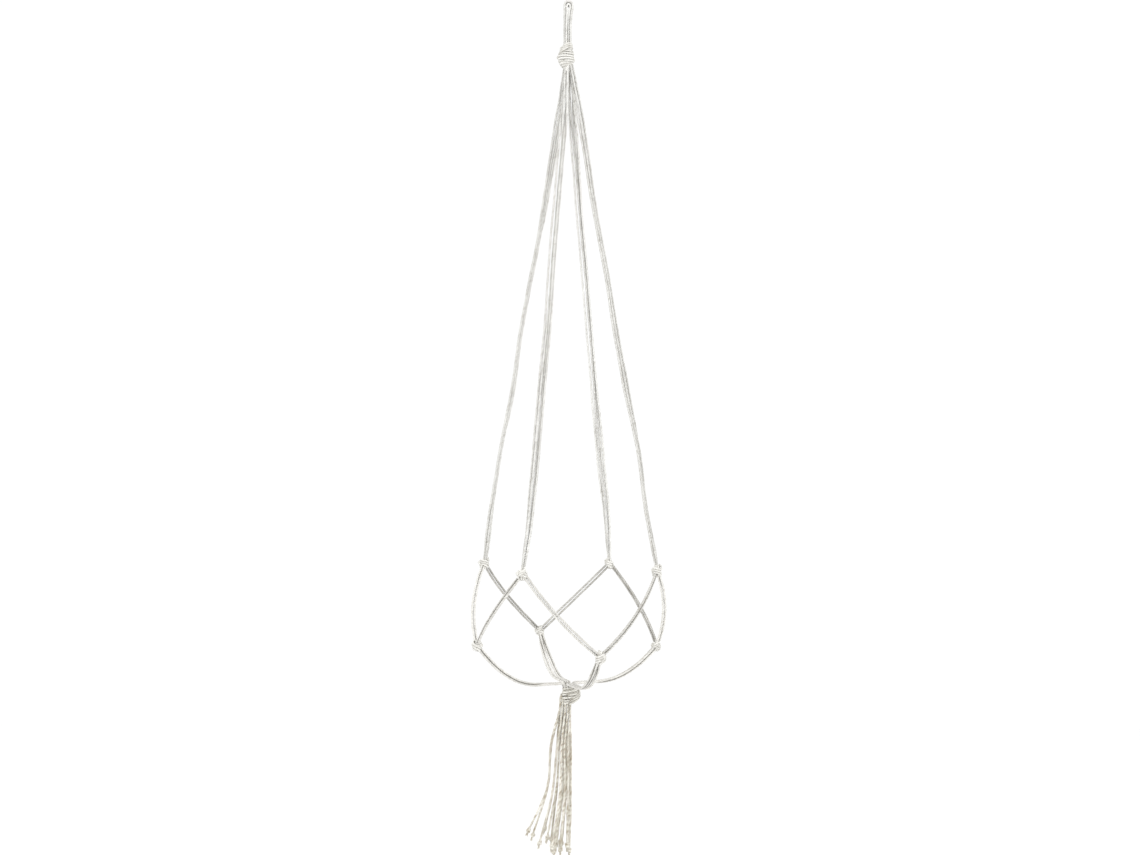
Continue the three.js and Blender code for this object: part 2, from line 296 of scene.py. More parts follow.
def eased(share, keys):
    """A value read from (share, value) keys, with soft turns at each key."""
    shares, values = zip(*keys)
    place = min(max(share, shares[0]), shares[-1])
    index = min(int(np.searchsorted(shares, place, side="right")) - 1, len(keys) - 2)
    local = (place - shares[index]) / (shares[index + 1] - shares[index])
    soft = local * local * (3 - 2 * local)
    return values[index] + (values[index + 1] - values[index]) * soft


def between(time, early, late, first, second):
    return ((late - time) * first + (time - early) * second) / (late - early)


def span(before, first, second, after):
    """Points from the first to the second, on a centripetal Catmull-Rom curve."""
    start = np.linalg.norm(first - before) ** 0.5
    end = start + np.linalg.norm(second - first) ** 0.5
    last = end + np.linalg.norm(after - second) ** 0.5
    time = np.linspace(start, end, 16, endpoint=False)[:, None]
    coming = between(time, 0, start, before, first)
    here = between(time, start, end, first, second)
    going = between(time, end, last, second, after)
    early = between(time, 0, end, coming, here)
    late = between(time, start, last, here, going)
    return between(time, start, end, early, late)


def smooth_route(points, step=RING_STEP):
    """Evenly spaced points on one smooth curve through the given ones."""
    points = np.array(points, float)
    padded = np.vstack([2 * points[0] - points[1], points, 2 * points[-1] - points[-2]])
    dense = np.vstack([*(span(*padded[i:i + 4]) for i in range(len(points) - 1)), points[-1:]])
    lengths = np.concatenate([[0], np.cumsum(np.linalg.norm(np.diff(dense, axis=0), axis=1))])
    even = np.linspace(0, lengths[-1], max(3, round(lengths[-1] / step) + 1))
    return np.stack([np.interp(even, lengths, dense[:, axis]) for axis in range(3)], axis=1)


def wavy(route, amount):
    """The route with a slow, small wander, as a cord has that isn't pulled quite straight."""
    along = np.arange(len(route)) * RING_STEP
    moved = route.copy()
    for wave, share in ((0.19, 0.6), (0.083, 0.6), (0.031, 0.3)):
        for axis in range(3):
            phase = chance.uniform(0, 2 * math.pi)
            moved[:, axis] += amount * share * np.sin(2 * math.pi * along / wave + phase)
    return moved


# ---- Cord meshes ---------------------------------------------------------------------------

def carried_directions(route):
    """Two directions across the route at each point, carried along it without a twist."""
    tangents = np.gradient(route, axis=0)
    tangents /= np.linalg.norm(tangents, axis=1)[:, None]
    across = np.empty_like(route)
    across[0] = unit(np.cross(tangents[0], np.eye(3)[np.argmin(np.abs(tangents[0]))]))
    for index in range(1, len(route)):
        flat = across[index - 1] - (across[index - 1] @ tangents[index]) * tangents[index]
        across[index] = unit(flat)
    return across, np.cross(tangents, across)


def crevice_shade_depths(skin, route, radius, others):
    """Painted shade, 0 to 1, by how deep each cord point lies in the crease beside another cord."""
    nearest = np.full(skin.shape[:2], 1.0)
    for other in others:
        apart = np.linalg.norm(route[:, None, :] - other[None, :, :], axis=2)
        close = other[apart.argmin(axis=1)]
        nearest = np.minimum(nearest, np.linalg.norm(skin - close[:, None, :], axis=2))
    return np.clip((1.8 * radius - nearest) / (0.8 * radius), 0, 1)


class CordMesh:
    """A mesh of twisted cords, with the place, groove, painted shade between cords and tone of each
    point.
    """

    def __init__(self, ply=TIGHT_PLY):
        self.ply = ply
        self.points = []
        self.faces = []
        self.place = []
        self.groove = []
        self.tone = []
        self.cords = []
        self.count = 0

    def add(self, route, radius=CORD_R, ends=None, tone=0.0):
        """Adds one cord. ends are its two tips' shares of the radius. A higher tone is darker."""
        outline = [(math.radians(angle + 120 * ply), reach)
                   for ply in range(PLIES) for angle, reach in self.ply]
        angles = np.array([angle for angle, _ in outline])
        reach = np.array([reach for _, reach in outline])
        rings, sides = len(route), len(outline)
        along = np.concatenate(
            [[0], np.cumsum(np.linalg.norm(np.diff(route, axis=0), axis=1))]
        )
        twist = 2 * math.pi * along / PLY_TURN + chance.uniform(0, 2 * math.pi)
        girth = np.full(rings, radius)
        girth *= 1 + 0.035 * np.sin(2 * math.pi * along / 0.023 + chance.uniform(0, 6))
        if ends is not None:
            girth *= np.interp(along / along[-1], [0, 0.5, 1], [ends[0], 1, ends[1]])
        across, other = carried_directions(route)
        turned = angles[None, :] + twist[:, None]
        out = (np.cos(turned)[:, :, None] * across[:, None, :]
               + np.sin(turned)[:, :, None] * other[:, None, :])
        skin = route[:, None, :] + out * (girth[:, None] * reach[None, :])[:, :, None]
        shift = chance.uniform(0, 0.5)
        place = np.empty((rings, sides, 3))
        place[:, :, 0] = radius * np.cos(angles) + shift
        place[:, :, 1] = radius * np.sin(angles) + shift
        place[:, :, 2] = along[:, None] + shift
        low = min(reach)
        groove = np.broadcast_to((reach - low) / (1 - low), (rings, sides))
        self.add_rings(skin, route, place, groove, tone + chance.uniform(-0.22, 0.22))
        self.cords.append((skin, route, radius))

    def add_rings(self, skin, route, place, groove, tone):
        rings, sides = skin.shape[:2]
        first = self.count
        here = np.arange(rings - 1)[:, None] * sides + np.arange(sides)[None, :] + first
        beside = np.arange(rings - 1)[:, None] * sides + (np.arange(sides) + 1) % sides + first
        quads = np.stack([here, beside, beside + sides, here + sides], axis=2)
        self.faces += quads.reshape(-1, 4).tolist()
        start, end = first + rings * sides, first + rings * sides + 1
        last = first + (rings - 1) * sides
        for side in range(sides):
            after = (side + 1) % sides
            self.faces.append([start, first + after, first + side])
            self.faces.append([end, last + side, last + after])
        self.points.append(np.vstack([skin.reshape(-1, 3), route[0], route[-1]]))
        self.place.append(np.vstack([place.reshape(-1, 3), place[0, 0], place[-1, 0]]))
        self.groove.append(np.concatenate([groove.reshape(-1), [0.5, 0.5]]))
        self.tone.append(np.full(rings * sides + 2, tone))
        self.count += rings * sides + 2

    # Painted shade where each cord lies beside another, at each of its points.
    def crevice(self, beside):
        values = []
        for number, (skin, route, radius) in enumerate(self.cords):
            others = [cord[1] for index, cord in enumerate(self.cords) if index != number]
            others += [cord for cord in beside if not np.array_equal(cord, route)]
            values.append(crevice_shade_depths(skin, route, radius, others).reshape(-1))
            values.append([0.5, 0.5])
        return values

    def build(self, name, material, beside=()):
        """Makes the object. beside are routes of cords in other pieces that may touch this one."""
        mesh = bpy.data.meshes.new(name)
        mesh.from_pydata(np.vstack(self.points).tolist(), [], self.faces)
        kinds = (("cord_place", "FLOAT_VECTOR", "vector", self.place),
                 ("groove", "FLOAT", "value", self.groove),
                 ("crevice", "FLOAT", "value", self.crevice(beside)),
                 ("tone", "FLOAT", "value", self.tone))
        for title, kind, field, values in kinds:
            data = np.concatenate(values).astype(np.float32).ravel()
            mesh.attributes.new(title, kind, "POINT").data.foreach_set(field, data)
        mesh.materials.append(material)
        mesh.shade_smooth()
        return link(bpy.data.objects.new(name, mesh))


def add_piece(name, cords, material, nodes=(), beside=()):
    """Builds a piece from its cords. It stands for the CAD nodes that are named."""
    piece = cords.build(name, material, beside)
    if nodes:
        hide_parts(*nodes)
    return piece


# ---- Knots ---------------------------------------------------------------------------------

class KnotFrame:
    """A knot's own directions: right, back and up, at its middle."""

    def __init__(self, centre, azimuth=0.0, lean=(0.0, 0.0)):
        angle = math.radians(azimuth)
        self.centre = np.array(centre)
        self.up = unit(np.array([lean[0], lean[1], 1.0]))
        right = np.array([math.cos(angle), math.sin(angle), 0.0])
        self.right = unit(right - (right @ self.up) * self.up)
        self.back = np.cross(self.up, self.right)

    def at(self, x, y, z):
        return self.centre + x * self.right + y * self.back + z * self.up


def wrap_route(knot, start, sweep, reach, height, rise=0.0, tilt=0.0, tilt_at=0.0,
               offset=(0.0, 0.0), dive=0.55, depth=1.0):
    """One cord round a knot: out of the middle, round by sweep degrees, and in again.

    It rises by `rise` on its way, in a ring tilted by `tilt` towards the angle `tilt_at`.
    """
    points = []
    count = max(8, round(abs(sweep) / 18))
    for index in range(count + 1):
        share = index / count
        angle = math.radians(start + sweep * share)
        buried = eased(share, [(0, dive), (0.12, 1), (0.88, 1), (1, dive)])
        radius = reach * buried
        z = height + rise * (share - 0.5) + tilt * math.cos(angle - math.radians(tilt_at))
        points.append(knot.at(offset[0] + radius * math.cos(angle),
                              offset[1] + radius * depth * math.sin(angle), z))
    return smooth_route(points)


def add_core(cords, knot, reach, height, rows=4):
    """Cords that run through the middle of a knot."""
    for index in range(rows):
        angle = 2 * math.pi * (index + 0.5) / rows
        x, y = reach * math.cos(angle), reach * math.sin(angle)
        points = [knot.at(x * narrow, y * narrow, z * height)
                  for z, narrow in ((-0.5, 0.7), (-0.25, 1.0), (0.25, 1.0), (0.5, 0.7))]
        cords.add(smooth_route(points))


def add_ear(cords, knot, angle, height, reach, out, drop, width=0.0013):
    """A small loop of two cords that stands out from a knot's side."""
    side = math.radians(angle)
    for shift in (-width, width):
        points = []
        for share in np.linspace(0, 1, 9):
            turn = math.pi * share
            radius = reach + out * math.sin(turn)
            z = height + drop * 0.5 * math.cos(turn)
            x = radius * math.cos(side) - shift * math.sin(side)
            y = radius * math.sin(side) + shift * math.cos(side)
            points.append(knot.at(x, y, z))
        cords.add(smooth_route(points))


def small_knot(cords, knot, reach, height, ear, ear_out, hand):
    """Four cords in an overhand knot: a core, two turns round it and a pair across the front."""
    add_core(cords, knot, 0.0017, height * 0.95)
    ring = reach - CORD_R
    for row in (-1, 0, 1):
        cords.add(wrap_route(
            knot, start=ear + 180 + 30 * row, sweep=hand * 400, reach=ring * (1 - 0.08 * abs(row)),
            height=row * 0.0026 - 0.0004, rise=0.0012 * hand, tilt=0.0016, tilt_at=ear + 20,
        ))
    for side in (-1, 1):
        points = []
        for share in np.linspace(0, 1, 9):
            angle = math.radians(ear + 150 - hand * (20 + 200 * share) + 6 * side)
            radius = (ring + 0.0010) * eased(share, [(0, 0.45), (0.2, 1), (0.8, 1), (1, 0.45)])
            z = (0.5 - share) * height * 0.78 + side * 0.00135
            points.append(knot.at(radius * math.cos(angle), radius * math.sin(angle), z))
        cords.add(smooth_route(points))
    add_ear(cords, knot, ear, 0.0006, ring * 0.75, ear_out, 0.0034)


# ---- Loop and top knot ---------------------------------------------------------------------

NECK_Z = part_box("top_knot")[1].z
TOP_KNOT_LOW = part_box("top_knot")[0].z
EYE_GAP = 0.0048
EYE_DEPTH = 0.010
EYE_SHUT = 0.0017  # the limp eye is a little narrower than the hook would hold it
NECK_SHIFT = -0.0013  # the neck leans towards the knot
LOOP_TONE = -0.12  # the loop is the palest part


def loop_route(layer, row):
    """One folded cord: up one side, over the hook and down the other side, into the top knot."""
    y = (row - 1.5) * PITCH
    bend = EYE_GAP / 2 + CORD_R + layer * PITCH
    column = PITCH * math.sin(math.radians(60))
    neck = (layer + 0.5) * column
    crown = -EYE_GAP / 2
    closed = 0.0024 - 0.0002 * (row % 2)  # how far the limp eye falls shut under the hook
    sides = []
    for side in (-1, 1):
        shift = side * (1 if layer == 0 else -1) * PITCH / 4
        sides.append([
            (side * neck * 0.9 + NECK_SHIFT, (y + shift) * 0.9, NECK_Z - 0.012),
            (side * neck + NECK_SHIFT, y + shift, NECK_Z - 0.001),
            (side * neck + NECK_SHIFT, y + shift, NECK_Z + 0.012),
            (side * (neck + 0.0001) + NECK_SHIFT, y + shift, NECK_Z * 0.62),
            (side * (neck * 0.92 + bend * 0.08) + NECK_SHIFT * 0.8, y + shift, NECK_Z * 0.36),
            (side * (bend - closed) + NECK_SHIFT * 0.3, y, crown - EYE_DEPTH + 0.004),
        ])
    # The outer layer turns more squarely over the hook than a half circle.
    square = (1.0, 0.72)[layer]
    over = []
    for angle in np.linspace(math.pi, 0, 9):
        across, rise = math.cos(angle), math.sin(angle)
        over.append(((bend - EYE_SHUT) * math.copysign(abs(across) ** square, across), y,
                     crown + bend * rise ** square))
    return smooth_route([*sides[0], *over, *reversed(sides[1])])


def add_loop(material):
    routes = [wavy(loop_route(layer, row), 0.00012) for layer in range(2) for row in range(4)]
    for number, route in enumerate(routes, start=1):
        cords = CordMesh()
        cords.add(route, tone=LOOP_TONE)
        piece = add_piece(f"loop_cord_{number}_twisted", cords, material,
                          [f"loop_cord_{number}"], beside=routes)
        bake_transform(piece)


# Each turn of the top knot: height, reach, tilt, and how far the ring is moved to the right.
TOP_TURNS = [
    (-0.0548, 0.0066, 0.0016, -0.0022),
    (-0.0576, 0.0077, 0.0008, -0.0026),
    (-0.0604, 0.0086, -0.0002, -0.0030),
    (-0.0633, 0.0092, -0.0005, -0.0033),
    (-0.0662, 0.0094, -0.0002, -0.0033),
    (-0.0690, 0.0088, 0.0002, -0.0030),
    (-0.0717, 0.0075, 0.0006, -0.0028),
    (-0.0742, 0.0059, 0.0008, -0.0025),
    (-0.0765, 0.0041, 0.0010, -0.0020),
]
TOP_SHIFT = -0.0028


def add_top_knot(material):
    cords = CordMesh()
    knot = KnotFrame((0, 0, 0))
    through = KnotFrame((TOP_SHIFT * 0.6, 0, (NECK_Z + TOP_KNOT_LOW) / 2))
    for reach, rows in ((0.0014, 3), (0.0042, 8)):
        add_core(cords, through, reach, 0.029, rows)
    for index, (z, reach, tilt, shift) in enumerate(TOP_TURNS):
        cords.add(wrap_route(knot, 100 + 41 * index, 430, reach - 0.0018, z, rise=0.0006,
                             tilt=tilt, tilt_at=0, offset=(shift, 0)))
        cords.add(wrap_route(knot, 250 + 67 * index, 395, reach, z + 0.0006, rise=0.0010,
                             tilt=tilt, tilt_at=0, offset=(shift, 0)))
    # Three cords that rise across the front and over the right shoulder.
    for row in range(3):
        points = []
        for share in np.linspace(0, 1, 11):
            angle = math.radians(192 + 172 * share)
            full = 0.0099 - 0.0026 * share - 0.0004 * row
            reach = full * eased(share, [(0, 0.6), (0.16, 1), (0.88, 1), (1, 0.55)])
            z = -0.0592 + 0.0078 * eased(share, [(0, 0), (0.7, 1), (1, 0.75)]) + 0.0023 * row
            points.append(knot.at(TOP_SHIFT + reach * math.cos(angle), reach * math.sin(angle), z))
        cords.add(smooth_route(points))
    left = KnotFrame((TOP_SHIFT, 0, 0))
    add_ear(cords, left, 186, -0.0637, 0.0082, 0.0024, 0.0030)
    add_ear(cords, left, 8, -0.0668, 0.0080, 0.0018, 0.0028)
    # The short tail of a cord end, pressed between the arms under the knot.
    tail = [(-0.0020, -0.0030, -0.0740), (-0.0024, -0.0052, -0.0775), (-0.0022, -0.0056, -0.0812)]
    cords.add(smooth_route(tail))
    piece = add_piece("top_knot_wrapped", cords, material, ["top_knot"])
    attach(piece, "hanger")


# ---- Arms ----------------------------------------------------------------------------------

# How each arm's ribbon of four cords lies, as (share of the way down, value) keys.
# Degrees that the ribbon is turned from sideways.
ARM_TURNS = [
    [(0, 0), (0.1, -26), (1, -26)],
    [(0, 30), (0.16, 29), (0.27, 10), (0.35, -9), (0.53, -9), (0.66, -5), (0.77, -16),
     (0.88, -12), (1, 10)],
    [(0, 0), (0.1, -26), (1, -26)],
    [(0, 20), (0.16, 15), (0.27, 4), (0.44, 1), (0.53, 5), (0.63, 12), (0.7, 0), (0.8, 0),
     (0.9, -5), (1, -15)],
]
# How flat each ribbon is, from a pile of two by two at 0 to one row at 1.
ARM_SPREADS = [0.9, 1.0, 0.65, 0.9]
# How far one outer cord has split off from the other three: towards +1 or -1 of the sideways way.
ARM_SPLITS = [
    [(0.14, 0), (0.22, 0.75), (0.3, 1), (0.6, 1), (0.72, 0), (1, 0)],
    [(0, 0), (1, 0)],
    [(0.1, 0), (0.15, -0.8), (0.2, -1), (0.42, -0.9), (0.55, -0.4), (0.66, -0.1), (1, 0)],
    [(0.1, 0), (0.16, 0.4), (0.3, 0), (0.7, 0), (0.76, -0.6), (0.92, -0.5), (0.96, 0)],
]
# Places of the four cords once one has split off, in cord pitches: beside the middle and outward.
SPLIT_PLACES = [(-1.25, 0), (0.12, -0.43), (0.62, 0.43), (1.12, -0.43)]
# How far the arm bends to the right of a straight line.
ARM_BOWS = [
    [(0, 0), (0.05, -0.0016), (0.09, -0.0026), (0.16, -0.0025), (0.27, -0.0034), (0.44, -0.0026),
     (0.64, -0.0022), (0.77, -0.0010), (0.9, 0.0012), (1, 0)],
    [(0, 0), (0.08, 0.0028), (0.16, 0.0037), (0.27, 0.0034), (0.35, 0.0022), (0.44, 0.0002),
     (0.53, -0.0010), (0.64, 0.0005), (0.77, -0.0026), (0.88, -0.0026), (1, 0)],
    [(0, 0), (0.05, 0.0014), (0.09, 0.0022), (0.16, 0.0026), (0.35, 0.0026), (0.53, 0.0042),
     (0.64, 0.0035), (0.77, 0.0035), (0.9, 0.0028), (1, 0)],
    [(0, 0), (0.16, -0.0011), (0.27, -0.0025), (0.44, -0.0011), (0.53, -0.0016), (0.64, -0.0007),
     (0.77, 0.0020), (0.88, -0.0006), (1, 0)],
]
TOP_PULL = 0.0024  # how far the knot draws each arm in at its top


def ribbon_places(spread, split):
    """Four places across a ribbon, in cord pitches: 2 by 2 at spread 0, in one row at spread 1."""
    turn = spread * math.pi / 2
    wide, deep = math.sin(turn), math.cos(turn) / 2
    whole = np.array([(-0.5 - wide, -deep), (-0.5, deep), (0.5, -deep), (0.5 + wide, deep)])
    apart = np.array(SPLIT_PLACES)
    if split > 0:
        apart = apart[::-1] * (-1, 1)
    return whole + (apart - whole) * abs(split)


def arm_routes(arm):
    knot = middle(f"upper_knot_{arm + 1}")
    azimuth = azimuth_of(knot)
    top = around(ARM_TOP_R, azimuth, TOP_KNOT_LOW - 0.0003)
    across = sideways(azimuth)
    outward = unit(np.cross(across, knot - top))
    if outward @ around(1, azimuth, 0) < 0:
        outward = -outward
    routes = [[] for _ in range(4)]
    for share in np.linspace(-0.012, 1.004, 44):
        inside = min(max(share, 0), 1)
        base = top + (knot - top) * share
        pull = TOP_PULL * (1 - min(inside / 0.2, 1)) ** 2
        base = base - around(pull, azimuth, 0)
        opened = eased(inside, [(0, 0.05), (0.16, 1), (0.8, 0.9), (0.965, 0.25), (1, 0)])
        spread = ARM_SPREADS[arm] * opened
        turn = math.radians(eased(inside, ARM_TURNS[arm]))
        split = eased(inside, ARM_SPLITS[arm])
        base = base + np.array([eased(inside, ARM_BOWS[arm]), 0, 0])
        tight = eased(inside, [(0, 0.95), (0.05, 1), (0.94, 1), (1, 0.62)])
        for number, (wide, deep) in enumerate(ribbon_places(spread, split) * PITCH * tight):
            right = wide * math.cos(turn) - deep * math.sin(turn)
            out = wide * math.sin(turn) + deep * math.cos(turn)
            routes[number].append(base + across * right + outward * out)
    return [wavy(smooth_route(route), 0.00016) for route in routes]


def add_arm(arm, material):
    routes = arm_routes(arm)
    for letter, pair in (("a", routes[:2]), ("b", routes[2:])):
        cords = CordMesh()
        for route in pair:
            cords.add(route)
        name = f"arm_{arm + 1}_cords_{letter}"
        piece = add_piece(f"{name}_twisted", cords, material, [name], routes)
        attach(piece, f"arm_{arm + 1}")


# Each small knot: reach, height, angle of its ear, how far the ear stands out, and its hand.
UPPER_KNOTS = [
    (0.0058, 0.0150, 120, 0.0016, 1),
    (0.0064, 0.0160, 190, 0.0034, -1),
    (0.0060, 0.0160, 200, 0.0040, 1),
    (0.0062, 0.0150, 180, 0.0026, -1),
]
LOWER_KNOTS = [
    (0.0056, 0.0140, 170, 0.0040, 1),
    (0.0060, 0.0140, 330, 0.0030, -1),
    (0.0064, 0.0160, 340, 0.0024, 1),
    (0.0060, 0.0140, 200, 0.0030, 1),
]


def add_small_knots(arm, material):
    for kind, shapes, body in (("upper", UPPER_KNOTS, "arm"), ("lower", LOWER_KNOTS, "lower_knot")):
        name = f"{kind}_knot_{arm + 1}"
        reach, height, ear, out, hand = shapes[arm]
        cords = CordMesh()
        small_knot(cords, KnotFrame(middle(name)), reach, height, ear, out, hand)
        piece = add_piece(f"{name}_tied", cords, material, [name])
        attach(piece, f"{body}_{arm + 1}")


# ---- Net -----------------------------------------------------------------------------------

# Droop of each pair at mid length, and the degrees by which its two cords turn round each other.
NET_SAGS = [0.0008, 0.0005, 0.0010, 0.0015, 0.0050, 0.0025, 0.0010, 0.0050]
NET_ROLLS = [(0, 0), (12, -6), (60, 88), (12, -8), (-8, 12), (0, 15), (75, 70), (-12, 10)]
# Half the space between a pair's middle lines. A pair may hang a little apart.
NET_APART = [0.00190, 0.00180, 0.00148, 0.00172, 0.00166, 0.00152, 0.00150, 0.00155]
# How grey each pair is: painted shade, so that the pairs that hang in shade look greyer.
NET_SHADE_TONES = [0.34, 0.25, -0.50, 0.38, 0.22, 0.20, -0.60, 0.05]


def net_routes(arm, side):
    """Two cords from an upper knot down round the pot to a lower knot."""
    foot = arm if side > 0 else (arm + ARMS - 1) % ARMS
    upper, lower = middle(f"upper_knot_{arm + 1}"), middle(f"lower_knot_{foot + 1}")
    start_azimuth = azimuth_of(upper)
    end_azimuth = start_azimuth + side * 180 / ARMS
    start = upper + sideways(start_azimuth) * side * PAIR_SPREAD - (0, 0, PAIR_RISE)
    end = lower - sideways(end_azimuth) * side * PAIR_SPREAD + (0, 0, PAIR_RISE)
    radii = math.hypot(*start[:2]), math.hypot(*end[:2])
    turn_in = math.degrees(math.atan(PAIR_SPREAD / math.hypot(*upper[:2]))) * side
    turn_out = math.degrees(math.atan(PAIR_SPREAD / math.hypot(*lower[:2]))) * side
    index = arm * 2 + (0 if side > 0 else 1)
    along = unit(end - start)
    outward = around(1, (start_azimuth + end_azimuth) / 2, 0)
    across = unit(np.cross(outward, along))
    routes = ([], [])
    for share in np.linspace(0, 1, 12):
        radius = radii[0] + (radii[1] - radii[0]) * share
        azimuth = (start_azimuth + turn_in) + share * (
            end_azimuth - turn_out - start_azimuth - turn_in
        )
        z = start[2] + (end[2] - start[2]) * share - NET_SAGS[index] * 4 * share * (1 - share)
        roll = math.radians(eased(share, [(0, NET_ROLLS[index][0]), (1, NET_ROLLS[index][1])]))
        width = NET_APART[index] * eased(share, [(0, 0.75), (0.15, 1), (0.85, 1), (1, 0.75)])
        apart = across * math.cos(roll) + around(1, azimuth, 0) * math.sin(roll)
        for sign, route in zip((-1, 1), routes):
            route.append(around(radius, azimuth, z) + apart * sign * width)
    for route in routes:
        route.insert(0, upper + (route[0] - upper) * 0.25)
        route.append(lower + (route[-1] - lower) * 0.25)
    return [wavy(smooth_route(route), 0.0001) for route in routes]


def add_net(arm, material):
    for side, letter in ((1, "a"), (-1, "b")):
        cords = CordMesh()
        for route in net_routes(arm, side):
            cords.add(route, tone=NET_SHADE_TONES[arm * 2 + (0 if side > 0 else 1)])
        name = f"net_cords_{arm + 1}{letter}"
        piece = add_piece(f"{name}_twisted", cords, material, [name])
        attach(piece, f"net_{arm + 1}{letter}")


# ---- Legs ----------------------------------------------------------------------------------

# How grey each leg is. A lower tone is paler.
LEG_TONES = [-0.40, -0.15, -0.20, -0.15]
# Sideways places of each leg's four cords at mid length, in cord pitches.
LEG_SPREADS = [
    (-2.1, -1.05, 0.35, 1.5),
    (-1.5, -0.5, 0.5, 1.5),
    (-1.25, -0.4, 0.45, 1.95),
    (-1.5, -0.5, 0.5, 1.5),
]
# How far each leg's four cords have opened from a pile of two by two into a row.
LEG_OPENINGS = [
    [(0, 0.1), (0.25, 0.85), (0.5, 1), (1.1, 1)],
    [(0, 0), (0.55, 0.12), (0.9, 0.35), (1.15, 1)],
    [(0, 0.05), (0.3, 0.75), (0.6, 0.9), (1.1, 1)],
    [(0, 0.05), (0.5, 0.18), (0.9, 0.35), (1.15, 1)],
]
LEG_ROW = (-1.5, -0.5, 0.5, 1.5)
LEG_PILE = ((-0.5, -0.5), (-0.5, 0.5), (0.5, -0.5), (0.5, 0.5))  # beside and over, at the knot


def leg_routes(number):
    """Four cords from a lower knot down the side of the pot, under it and into the gather knot."""
    knot = middle(f"lower_knot_{number + 1}")
    azimuth = azimuth_of(knot)
    net_r = math.hypot(*knot[:2])
    across = sideways(azimuth)
    routes = [[] for _ in range(4)]
    shares = np.concatenate([np.linspace(1.0, 0, 14), -np.array([0.12, 0.25, 0.36])])
    for share in shares:
        radius = BASE_R + (net_r - BASE_R) * share
        z = BASE_Z + (knot[2] - BASE_Z) * max(share, 0) ** 2
        outward = unit(around(2 * (knot[2] - BASE_Z) * max(share, 0), azimuth, BASE_R - net_r))
        down = 1 - share
        open_out = eased(down, LEG_OPENINGS[number])
        wild = eased(down, [(0.1, 0), (0.5, 1), (0.8, 1), (1.1, 0)])
        for index in range(4):
            row = LEG_ROW[index] + (LEG_SPREADS[number][index] - LEG_ROW[index]) * wild
            beside, over = LEG_PILE[index]
            wide = beside + (row - beside) * open_out
            deep = over * (1 - open_out)
            place = around(radius, azimuth, z) + across * wide * PITCH + outward * deep * PITCH
            routes[index].append(place)
    for index, route in enumerate(routes):
        row = LEG_ROW[index] * PITCH
        route.append(around(LEG_END_R, azimuth, BASE_Z) + across * row)
        route.append(around(0.0066, azimuth, BASE_Z - 0.0016) + across * row * 0.85)
        route.append(around(0.0050, azimuth, BASE_Z - 0.0060) + across * row * 0.6)
    return [wavy(smooth_route(route), 0.0001) for route in routes]


def add_leg(number, material):
    cords = CordMesh()
    for route in leg_routes(number):
        cords.add(route, tone=LEG_TONES[number])
    upper, lower = f"leg_upper_{number + 1}", f"leg_lower_{number + 1}"
    piece = add_piece(f"leg_{number + 1}_twisted", cords, material, [upper, lower])
    hinge = next(j for j in frame["joints"] if j["name"] == f"leg_{number + 1}_straighten")
    pivot = np.array(hinge["pos_m"])
    azimuth = azimuth_of(pivot)
    reach = math.hypot(*pivot[:2])
    around(reach + 0.011, azimuth, pivot[2])
    around(reach - 0.011, azimuth, pivot[2])
    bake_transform(piece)


# ---- Gather knot ---------------------------------------------------------------------------

# Each turn of the gather knot: height above its middle, reach to the side, reach to the back,
# how far its ring is moved to the right, and its tilt up to the right.
GATHER_TURNS = [
    (0.0074, 0.0066, 0.0064, -0.0006, 0.0010),
    (0.0040, 0.0088, 0.0080, 0.0010, 0.0012),
    (0.0004, 0.0101, 0.0089, 0.0022, 0.0012),
    (-0.0034, 0.0100, 0.0087, 0.0024, 0.0012),
    (-0.0070, 0.0080, 0.0074, 0.0010, 0.0012),
    (-0.0098, 0.0058, 0.0060, -0.0012, 0.0010),
]


def add_gather_knot(material):
    cords = CordMesh()
    centre = middle("gather_knot")
    knot = KnotFrame(centre)
    for reach, rows in ((0.0014, 3), (0.0042, 8)):
        add_core(cords, knot, reach, 0.0215, rows)
    for index, (z, reach, depth, shift, tilt) in enumerate(GATHER_TURNS):
        for layer, inward in enumerate((0, 0.0017)):
            cords.add(wrap_route(
                knot, 60 + 83 * index + 130 * layer, 410, reach - inward, z + 0.0007 * layer,
                rise=0.0014, tilt=tilt, tilt_at=0, offset=(shift, 0), depth=depth / reach,
            ))
    # Three cords that fall across the front, from the right shoulder.
    for row in range(3):
        points = []
        for share in np.linspace(0, 1, 9):
            angle = math.radians(40 - 150 * share)
            reach = 0.0104 * eased(share, [(0, 0.5), (0.2, 1), (0.8, 1), (1, 0.5)])
            z = 0.0070 - 0.0140 * share - row * 0.0027
            points.append(knot.at(0.0026 + reach * math.cos(angle), reach * 0.9 * math.sin(angle), z))
        cords.add(smooth_route(points))
    piece = add_piece("gather_knot_wrapped", cords, material, ["gather_knot"])
    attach(piece, "gather")


# ---- Tassel --------------------------------------------------------------------------------

GATHER = middle("gather_knot")
GATHER_R = (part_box("gather_knot")[1].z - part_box("gather_knot")[0].z) / 2
TASSEL_COUNTS = [3, 3, 4, 3, 3]  # cords in each column of the bundle
TASSEL_X = -0.0042  # the tassel leaves the gather knot left of its middle
END_GAP = 0.00035  # between a cord end and the knot above it
END_TONE = -0.3  # the end knots are paler than the cords
TIP_FIBRES = 22

